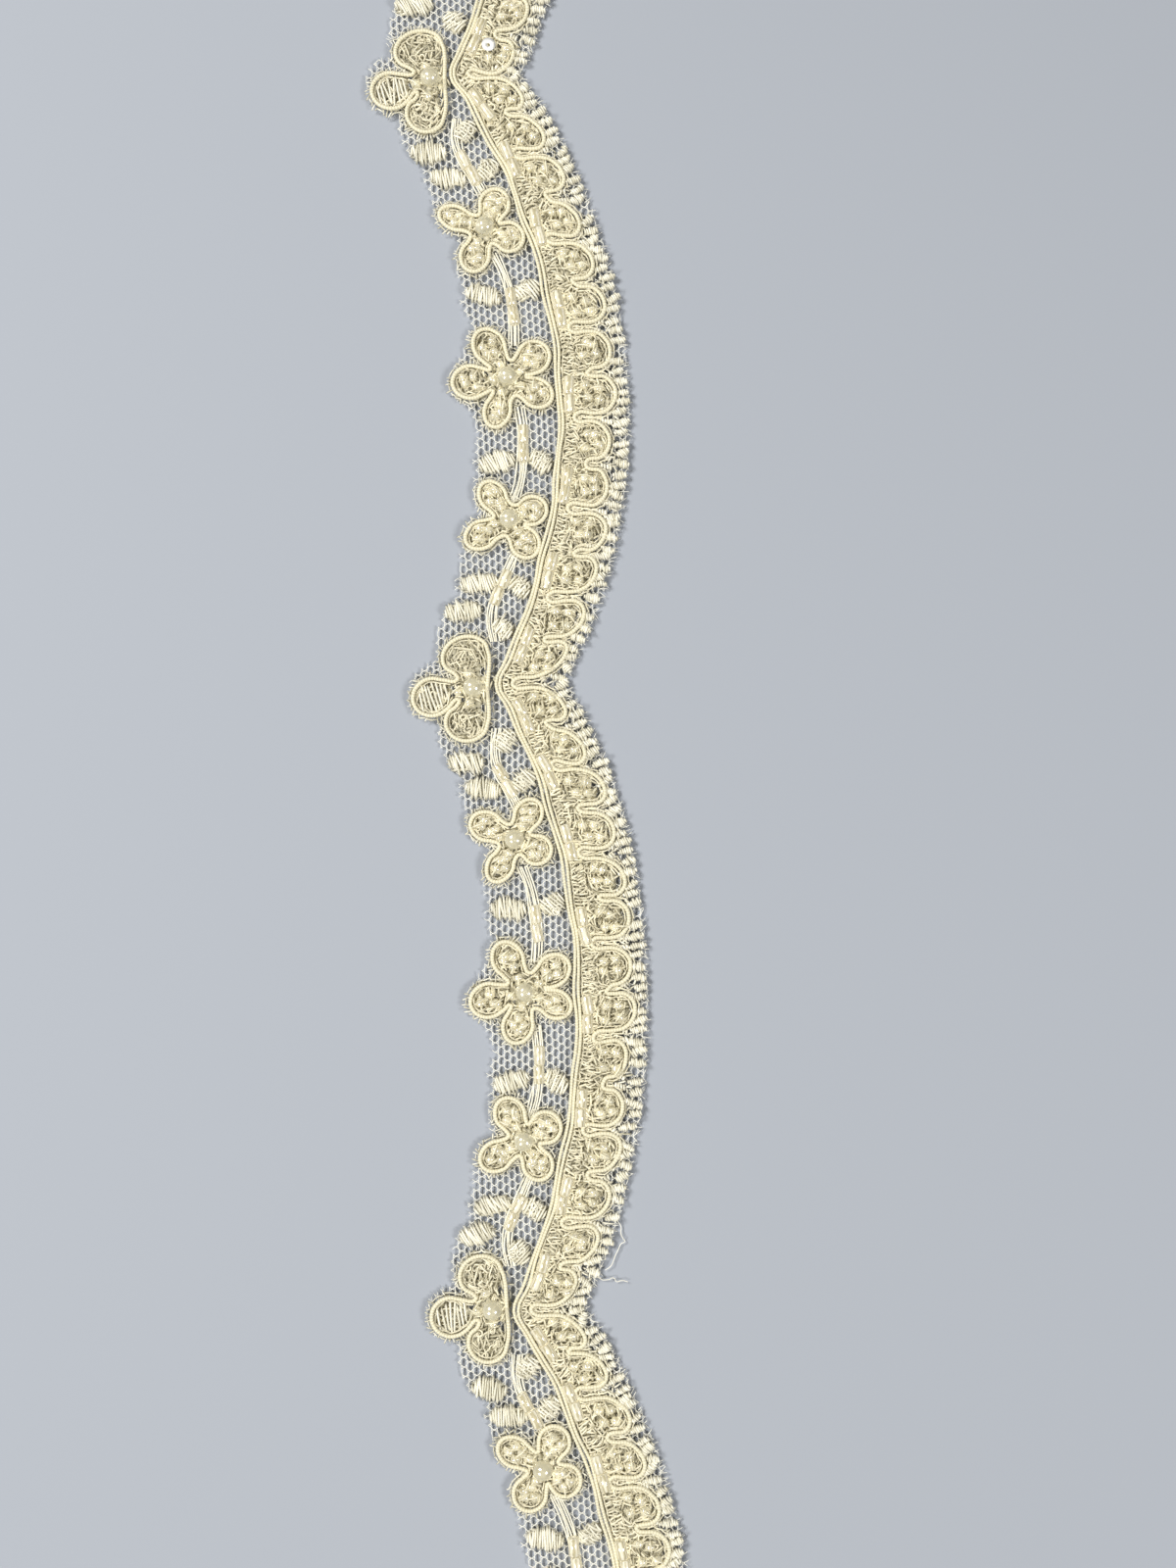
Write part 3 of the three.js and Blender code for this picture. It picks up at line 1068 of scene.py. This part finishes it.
# %% Leaves
LEAF = ("from_cusp", "x", "length", "width", "tilt")
LEAVES = [  # mm and degrees; each is mirrored to the other half of the scallop
    (14.7, -6.1, 7.2, 4.2, -4),
    (20.0, -2.8, 7.0, 4.0, -6),
    (43.4, 1.8, 7.0, 4.2, -8),
]
ROSETTES = [  # broad leaves beside the spine
    (10.9, 1.6, 4.6, 4.2, 50),
    (18.8, 5.2, 4.8, 4.2, 40),
    (43.0, 10.4, 5.0, 4.2, 35),
]
LEAF_FLOAT = 0.47 * MM


def mirrored_leaves(rows):
    """Each row's leaf in every half scallop: its middle, heading, length and width, a little off."""
    for number in SCALLOPS:
        for side in (1, -1):
            cusp = -SCALLOP * (number if side > 0 else number + 1)
            for row in rows:
                leaf = dict(zip(LEAF, row))
                centre = Vector((leaf["x"] * MM, cusp - side * leaf["from_cusp"] * MM))
                if inside_ends(centre, 2.4 * MM):
                    heading = math.radians(side * leaf["tilt"]) + chance.normal(0, 0.09)
                    length = leaf["length"] * MM * chance.uniform(0.92, 1.06)
                    width = leaf["width"] * MM * chance.uniform(0.92, 1.08)
                    yield centre, heading, length, width


def padding(centre, heading, length, width):
    """Long stitches laid under satin first, so that it stands up."""
    rows = []
    for place in (-0.6, -0.3, 0.0, 0.3, 0.6):
        point = centre + polar(math.degrees(heading) + 90, place * width / 2)
        span = length * math.sqrt(1 - place * place) * 0.95
        rows.append(stitch(laid(point, 0.45 * MM), heading, span, 0.7 * MM, 0.55 * MM, 0.5))
    return rows


def leaf_floats():
    rows = []
    for centre, heading, length, width in mirrored_leaves(LEAVES):
        rows += padding(centre, heading, length, width)
        rows += satin_bar(centre, heading, length, width, LEAF_FLOAT, 0.44 * MM, 1.1 * MM, 2.8)
    for centre, heading, length, width in mirrored_leaves(ROSETTES):
        rows += padding(centre, heading, length, width)
        rows += satin_bar(centre, heading, length, width, 0.62 * MM, 0.44 * MM, MM, 2.4)
    return rows


def rosette_curls():
    rows = []
    for centre, heading, length, width in mirrored_leaves(ROSETTES):
        for _ in range(9):
            point = centre + polar(chance.uniform(0, 360), width * chance.uniform(0.05, 0.42))
            spot = laid(point, chance.uniform(1.2, 1.6) * MM)
            rows.append(curl(spot, chance.uniform(0.4, 0.7) * MM, chance.uniform(0.7, 1.1)))
    return rows


leaves = sewn("satin_leaves", one_stitch, leaf_floats(), satin_thread)
rosettes = sewn("rosette_curls", one_loop, rosette_curls(), satin_thread)

# %% Picots
PICOT_PITCH = 2.0 * MM
PICOT_LONG = 3.3 * MM
PICOT_WIDE = 1.75 * MM
PICOTS_MISSED = 0.05


def picot_bars():
    rows = []
    for number in SCALLOPS:
        count = int(2 * half_angle(PICOT_EDGE) * (RADIUS + PICOT_EDGE) / PICOT_PITCH)
        for index in range(count):
            share = (index + 0.5 + chance.normal(0, 0.13)) / count * 2 - 1
            if chance.uniform() < PICOTS_MISSED:
                continue
            length = PICOT_LONG * chance.uniform(0.75, 1.2)
            out = edge_out(share) + chance.normal(0, 0.33 * MM) - length / 2
            centre = on_scallop(number, share, out)
            if not inside_ends(centre, 1.2 * MM):
                continue
            disorder = 0.16 - 0.0006 * centre.y / MM  # the lower picots are less even
            heading = outward(share, out) + chance.normal(0.1, disorder)
            width = PICOT_WIDE * chance.uniform(0.75, 1.1)
            knobs = chance.choice([1, 2, 2, 3])
            rows += satin_bar(centre, heading, length, width, 0.42 * MM, 0.46 * MM, MM, 3, knobs)
    return rows


def valley_bars():
    """Bars that fill the dip between two loops, inside the row of picots."""
    rows = []
    for number in SCALLOPS:
        for turn in range(LOOPS + 1):
            for aside in (-0.11, 0.11):
                share = 2 * (turn + aside) / LOOPS - 1
                centre = on_scallop(number, share, edge_out(share) - chance.uniform(4, 4.6) * MM)
                if abs(share) > 1 or not inside_ends(centre, 2 * MM):
                    continue
                heading = outward(share, 0) + chance.normal(0, 0.35)
                length = chance.uniform(1.6, 2.3) * MM
                rows += satin_bar(centre, heading, length, 1.2 * MM, 0.6 * MM, 0.5 * MM, 0.8 * MM, 6)
    return rows


def edge_stitches():
    rows = []
    for number, share, out, point in scattered(8.0 * MM, 11.4 * MM, MM):
        if band_limit(share) + 0.5 * MM < out < edge_out(share) - MM and chance.uniform() < 0.6:
            rows.append(
                stitch(
                    laid(point, 0.5 * MM),
                    outward(share, out) + chance.normal(0, 0.9),
                    chance.uniform(1.1, 2.2) * MM,
                    chance.uniform(0.26, 0.36) * MM,
                    chance.uniform(0.3, 0.6) * MM,
                    chance.uniform(0.4, 1.0),
                )
            )
    return rows


picots = sewn("picots", one_stitch, picot_bars() + valley_bars() + edge_stitches(), satin_thread)

# %% [markdown]
# ## Thread ends
# The net was cut out by hand, so short ends stand out along both edges. They are the same stitch,
# made very thin and pointed away from the trim. Two longer ends have come loose at the picots.

# %% Cut ends along both edges


def cut_ends():
    rows = []
    for number in SCALLOPS:
        for index in range(120):
            share = (index + chance.uniform(0, 1)) / 120 * 2 - 1
            point = on_scallop(number, share, edge_out(share) - 0.1 * MM)
            if inside_ends(point, MM):
                heading = outward(share, PICOT_EDGE) + chance.normal(0, 0.8)
                size = chance.uniform(0.8, 1.9) * MM
                rows.append(stitch(laid(point, 0.4 * MM), heading, size, 0.15 * MM, 0.25 * MM, 1.0))
    for petal in ALL_PETALS:
        for _ in range(7):
            aim = math.radians(petal["angle"] + chance.uniform(-95, 95))
            away = Vector((math.cos(aim), math.sin(aim))) * petal["across"].length * 1.32
            size = chance.uniform(0.7, 1.4) * MM
            heading = aim + chance.normal(0, 0.6)
            spot = laid(petal["centre"] + away, 0.5 * MM)
            rows.append(stitch(spot, heading, size, 0.13 * MM, 0.2 * MM, 1.0))
    return rows


ends = sewn("cut_thread_ends", one_stitch, cut_ends(), net_thread)

# %% Two loose ends
LONG_END = [  # plan points in mm, where the end lies
    (17.6, -222.2),
    (19.8, -223.6),
    (21.6, -225.6),
    (21.7, -228.2),
    (20.3, -230.3),
    (19.2, -232.6),
    (17.0, -234.0),
]
SHORT_END = [(16.2, -234.9), (18.0, -235.4), (19.6, -235.2), (21.0, -235.9), (22.6, -235.8)]


def crinkled(rows):
    """The end's own route with a kink every so often, as thread keeps from being sewn."""
    route = []
    for (x, y), (next_x, next_y) in zip(rows, rows[1:]):
        for part in (0.0, 0.33, 0.66):
            kinked_x = x + (next_x - x) * part + chance.normal(0, 0.16)
            kinked_y = y + (next_y - y) * part + chance.normal(0, 0.16)
            route.append(Vector((kinked_x, kinked_y, chance.uniform(0, 0.25))) * MM)
    return route


end_routes = [crinkled(LONG_END), crinkled(SHORT_END)]
end_mesh = cord_mesh("loose_ends", end_routes, 0.2 * MM, 0.35 * MM)
finish_piece(end_mesh, "loose_ends", net_thread)

# %% [markdown]
# ## Stems
# Between the flowers runs a stem of five parallel threads, laid loosely side by side.
# They are thin cords on one shared route, each moved a little to the side.

# %% Stems between the flowers
STEMS = [  # from the cusp and across, in mm: apex flower to side flower, side to middle flower
    [(8.4, 0.0), (12.5, -0.6), (16.6, 0.2), (20.8, 2.3), (25.2, 4.4)],
    [(35.4, 4.6), (39.6, 6.1), (44, 6.9), (49, 7.2), (54, 6.9)],
]
STEM_THREAD = 0.3 * MM
STEM_SPACING = 0.46 * MM


def stem_points(number, side, rows):
    cusp = -SCALLOP * (number if side > 0 else number + 1)
    return [Vector((x * MM, cusp - side * down * MM)) for down, x in rows]


def stem_knot(point, aside):
    """A point of one thread of the stem, a little off its even place and height."""
    strayed = aside + chance.normal(0, 0.12 * MM)
    return Vector((point.x + strayed, point.y, chance.uniform(-0.1, 0.1) * MM))


def stem_routes():
    routes = []
    for number in SCALLOPS:
        for side in (1, -1):
            for rows in STEMS:
                middle = stem_points(number, side, rows)
                if not all(inside_ends(point, MM) for point in middle):
                    continue
                for strand in (-2, -1, 0, 1, 2):
                    routes.append([stem_knot(point, strand * STEM_SPACING) for point in middle])
    return routes


stem_mesh = cord_mesh("stem_threads", stem_routes(), STEM_THREAD, 0.9 * MM)
finish_piece(stem_mesh, "stem_threads", satin_thread)

# %% [markdown]
# ## Glass
# Every bead is turned about its hole, so each is a closed section spun through a full turn. Seed
# beads are little rings, bugles are cut tubes, and the bead in each flower is round.

# %% Turn a bead


def turned_bead(name, section, steps):
    """section: closed outline of (radius, height) pairs, spun about Z."""
    bm = bmesh.new()
    verts = [bm.verts.new((radius, 0, height)) for radius, height in section]
    edges = [bm.edges.new((verts[i - 1], verts[i])) for i in range(len(verts))]
    bmesh.ops.spin(
        bm,
        geom=edges,
        axis=(0, 0, 1),
        cent=(0, 0, 0),
        angle=2 * math.pi,
        steps=steps,
        use_merge=True,
        use_duplicate=False,
    )
    bmesh.ops.remove_doubles(bm, verts=bm.verts, dist=1e-7)
    bmesh.ops.recalc_face_normals(bm, faces=bm.faces)
    mesh = bpy.data.meshes.new(name)
    bm.to_mesh(mesh)
    bm.free()
    return mesh


SEED_RADIUS = 1.0 * MM
SEED_LONG = 1.5 * MM
SEED_HOLE = 0.3 * MM
BUGLE_LONG = 3.5 * MM
BUGLE_RADIUS = 1.1 * MM
BUGLE_HOLE = 0.5 * MM
BEAD = 3.8 * MM

barrel = [(0.78, 0.42), (0.98, 0.2), (0.98, -0.2), (0.78, -0.42)]  # shares of radius and length
one_seed = turned_bead(
    "one_seed_bead",
    [(SEED_HOLE, 0.5 * SEED_LONG)]
    + [(radius * SEED_RADIUS, height * SEED_LONG) for radius, height in barrel]
    + [(SEED_HOLE, -0.5 * SEED_LONG)],
    10,
)
one_bugle = turned_bead(
    "one_bugle",
    [
        (BUGLE_HOLE, -BUGLE_LONG / 2),
        (BUGLE_RADIUS * 0.85, -BUGLE_LONG / 2),
        (BUGLE_RADIUS, -BUGLE_LONG * 0.46),
        (BUGLE_RADIUS, BUGLE_LONG * 0.46),
        (BUGLE_RADIUS * 0.85, BUGLE_LONG / 2),
        (BUGLE_HOLE, BUGLE_LONG / 2),
    ],
    10,
)
round_section = [
    (BEAD / 2 * math.cos(math.radians(a)), BEAD / 2 * math.sin(math.radians(a)))
    for a in range(-78, 79, 12)
]
one_round = turned_bead("one_round_bead", round_section, 28)
print("faces of a seed bead:", len(one_seed.polygons), "bugle:", len(one_bugle.polygons))

# %% [markdown]
# Seed beads lie in the petals and loops, on their sides, and each is held by a thread that
# arches over it. Bugles lie end to end along the spine, where the wave cord turns back early, and
# along the stems. One flat sequin is sewn on near the upper end.

# %% Sew the beads on


def bead(point, height, heading, pitch):
    return (*laid(point, height), heading, pitch, 1, 1, 1, 1.0)


def loose_seed(point, height):
    """A seed bead lying almost on its side, its hole roughly along the trim."""
    return bead(point, height, chance.normal(1.57, 0.5), chance.normal(1.5, 0.2))


def seed_height():
    return (1.3 + chance.uniform(0, 0.3)) * MM


def seeds_in_petals():
    """One bead at the neck of each petal and, but for the apex flowers, a ring of four inside it."""
    rows = []
    for petal in ALL_PETALS:
        count = 0 if petal["form"] == "apex" else 4
        start = chance.uniform(0, 2 * math.pi)
        neck = petal["bead"] + polar(petal["angle"] + chance.normal(0, 6), 3.0 * MM)
        rows.append(loose_seed(neck, 1.2 * MM))
        for index in range(count):
            around = start + 2 * math.pi * index / count + chance.normal(0, 0.3)
            reach = chance.uniform(0.3, 0.48)
            along = petal["along"] * reach * math.cos(around)
            across = petal["across"] * reach * math.sin(around)
            rows.append(loose_seed(petal["centre"] + along + across, seed_height()))
    return rows


def seeds_in_loops():
    rows = []
    for number in SCALLOPS:
        for index in range(LOOPS):
            for along, out in ((-0.32, 5.2), (0.3, 5.6), (-0.2, 7.4), (0.28, 7.8)):
                along += chance.normal(0, 0.06)
                share = (2 * index + 1 + along) / LOOPS - 1
                spot = on_scallop(number, share, (out + chance.normal(0, 0.3)) * MM)
                if inside_ends(spot, 2 * MM):
                    rows.append(loose_seed(spot, seed_height()))
    return rows


def sewing_stitches(rows_of_beads):
    """The threads that hold the seed beads down, each a high arch over one bead."""
    rows = []
    for x, y, z, *_ in rows_of_beads:
        spot = Vector((x + chance.normal(0, 0.3) * MM, y + chance.normal(0, 0.3) * MM, 0.7 * MM))
        heading = chance.normal(0.4, 0.8)
        length = chance.uniform(2.3, 3.0) * MM
        rows.append(stitch(spot, heading, length, 0.3 * MM, z + 0.4 * MM, chance.uniform(0.7, 1.1)))
    return rows


# %% Sew the bugles on
BUGLE_PAIRS = (0.8, 2.15, 3.75, 5.6, 7.5, 9.5, 11.4, 13.1)  # in loops below the upper cusp


def bugle_pair(middle, run):
    """Two bugles end to end, along the unit vector run."""
    rows = []
    for half in (-1, 1):
        spot = middle + run * half * (BUGLE_LONG + 0.15 * MM) / 2
        heading = math.atan2(run.y, run.x) + chance.normal(0, 0.06)
        rows.append(bead(spot, 1.95 * MM, heading, math.pi / 2))
    return rows


def bugle_places():
    rows = []
    for number in SCALLOPS:
        for loops in BUGLE_PAIRS:
            share = 2 * loops / LOOPS - 1
            middle = on_scallop(number, share, 1.9 * MM)
            if inside_ends(middle, 4.5 * MM):
                along_spine = math.degrees(outward(share, 0)) + 90 + chance.normal(0, 2)
                rows += bugle_pair(middle, polar(along_spine, 1))
        for side in (1, -1):
            for rows_of_stem in STEMS:
                route = stem_points(number, side, rows_of_stem)
                start, end = route[2], route[3]
                if inside_ends(start, 3 * MM) and inside_ends(end, 3 * MM):
                    middle = (start + end) / 2 + Vector((0.2 * MM, 0))
                    rows += bugle_pair(middle, (end - start).normalized())
    return rows


def round_places():
    return [
        bead(Vector((across, -down)) * MM, 3.1 * MM, chance.uniform(0, 6.28), math.pi / 2)
        for form, down, across, turn, mirrored in FLOWERS
    ]


# %% Finish the beads
seed_rows = seeds_in_petals() + seeds_in_loops()
seeds = finish_piece(planted("seed_beads", one_seed, seed_rows), "seed_beads", seed_glass)
sewing = sewn("sewing_threads", one_stitch, sewing_stitches(seed_rows), stitch_thread)
bugles = finish_piece(planted("bugle_beads", one_bugle, bugle_places()), "bugle_beads", bugle_glass)
rounds = [
    finish_piece(
        planted("round_bead_%02d" % number, one_round, [row]),
        "round_bead_%02d" % number,
        round_glass,
        ["centre_bead_%02d" % number],
    )
    for number, row in enumerate(round_places(), start=1)
]

# Cycles would leave a dark patch under clear beads, because it doesn't follow light through them
# into a shadow. Real glass lights what lies under it, so the beads cast no shadow here.
for piece in [seeds, bugles, *rounds]:
    piece.visible_shadow = False

# %% Sequin
SEQUIN_HOLE = 0.35 * MM
SEQUIN_RADIUS = 1.35 * MM
one_sequin = turned_bead(
    "one_sequin",
    [
        (SEQUIN_HOLE, -0.08 * MM),
        (SEQUIN_RADIUS - 0.05 * MM, 0.1 * MM),
        (SEQUIN_RADIUS, 0.2 * MM),
        (SEQUIN_HOLE, 0.06 * MM),
    ],
    18,
)
sequin_row = (*laid(Vector((7.8, 5.1)) * MM, 2.75 * MM), 0.4, 0.1, 1, 1, 1, 1.0)
finish_piece(planted("sequin", one_sequin, [sequin_row]), "sequin", sequin_film)

# %% [markdown]
# ## Floor and light
# The floor is a plain pale board. Three soft boxes stand round the trim at about 45 degrees. Each
# leaves its own bright point on every bead, and together they still show the relief.

# %% Studio


def add_floor():
    bm = bmesh.new()
    bmesh.ops.create_grid(bm, x_segments=1, y_segments=1, size=1.5)
    mesh = bpy.data.meshes.new("floor")
    bm.to_mesh(mesh)
    bm.free()
    floor = bpy.data.objects.new("floor", mesh)
    bpy.context.scene.collection.objects.link(floor)
    material = bpy.data.materials.new("matt_paper_board")
    material.use_nodes = True
    shader = material.node_tree.nodes["Principled BSDF"]
    shader.inputs["Base Color"].default_value = dye("A1A5AB")
    shader.inputs["Roughness"].default_value = 0.95
    shader.inputs["Specular IOR Level"].default_value = 0.1
    mesh.materials.append(material)
    floor.location.z = -0.0002
    return floor


def add_light(name, place, size, power):
    data = bpy.data.lights.new(name, "AREA")
    data.size = size
    data.energy = power
    light = bpy.data.objects.new(name, data)
    bpy.context.scene.collection.objects.link(light)
    light.location = place
    light.rotation_euler = (Vector((0, 0, 0)) - Vector(place)).to_track_quat("-Z", "Y").to_euler()
    return light


add_floor()
add_light("key", (-0.55, 0.45, 0.75), 0.27, 8.2)
add_light("low_left", (-0.6, -0.45, 0.8), 0.27, 6.1)
add_light("low_right", (0.7, -0.35, 0.75), 0.27, 6.3)
world = bpy.data.worlds.new("studio")
world.use_nodes = True
world.node_tree.nodes["Background"].inputs["Color"].default_value = dye("F4F5F7")
world.node_tree.nodes["Background"].inputs["Strength"].default_value = 0.14
bpy.context.scene.world = world
bpy.context.scene.view_settings.view_transform = "Standard"
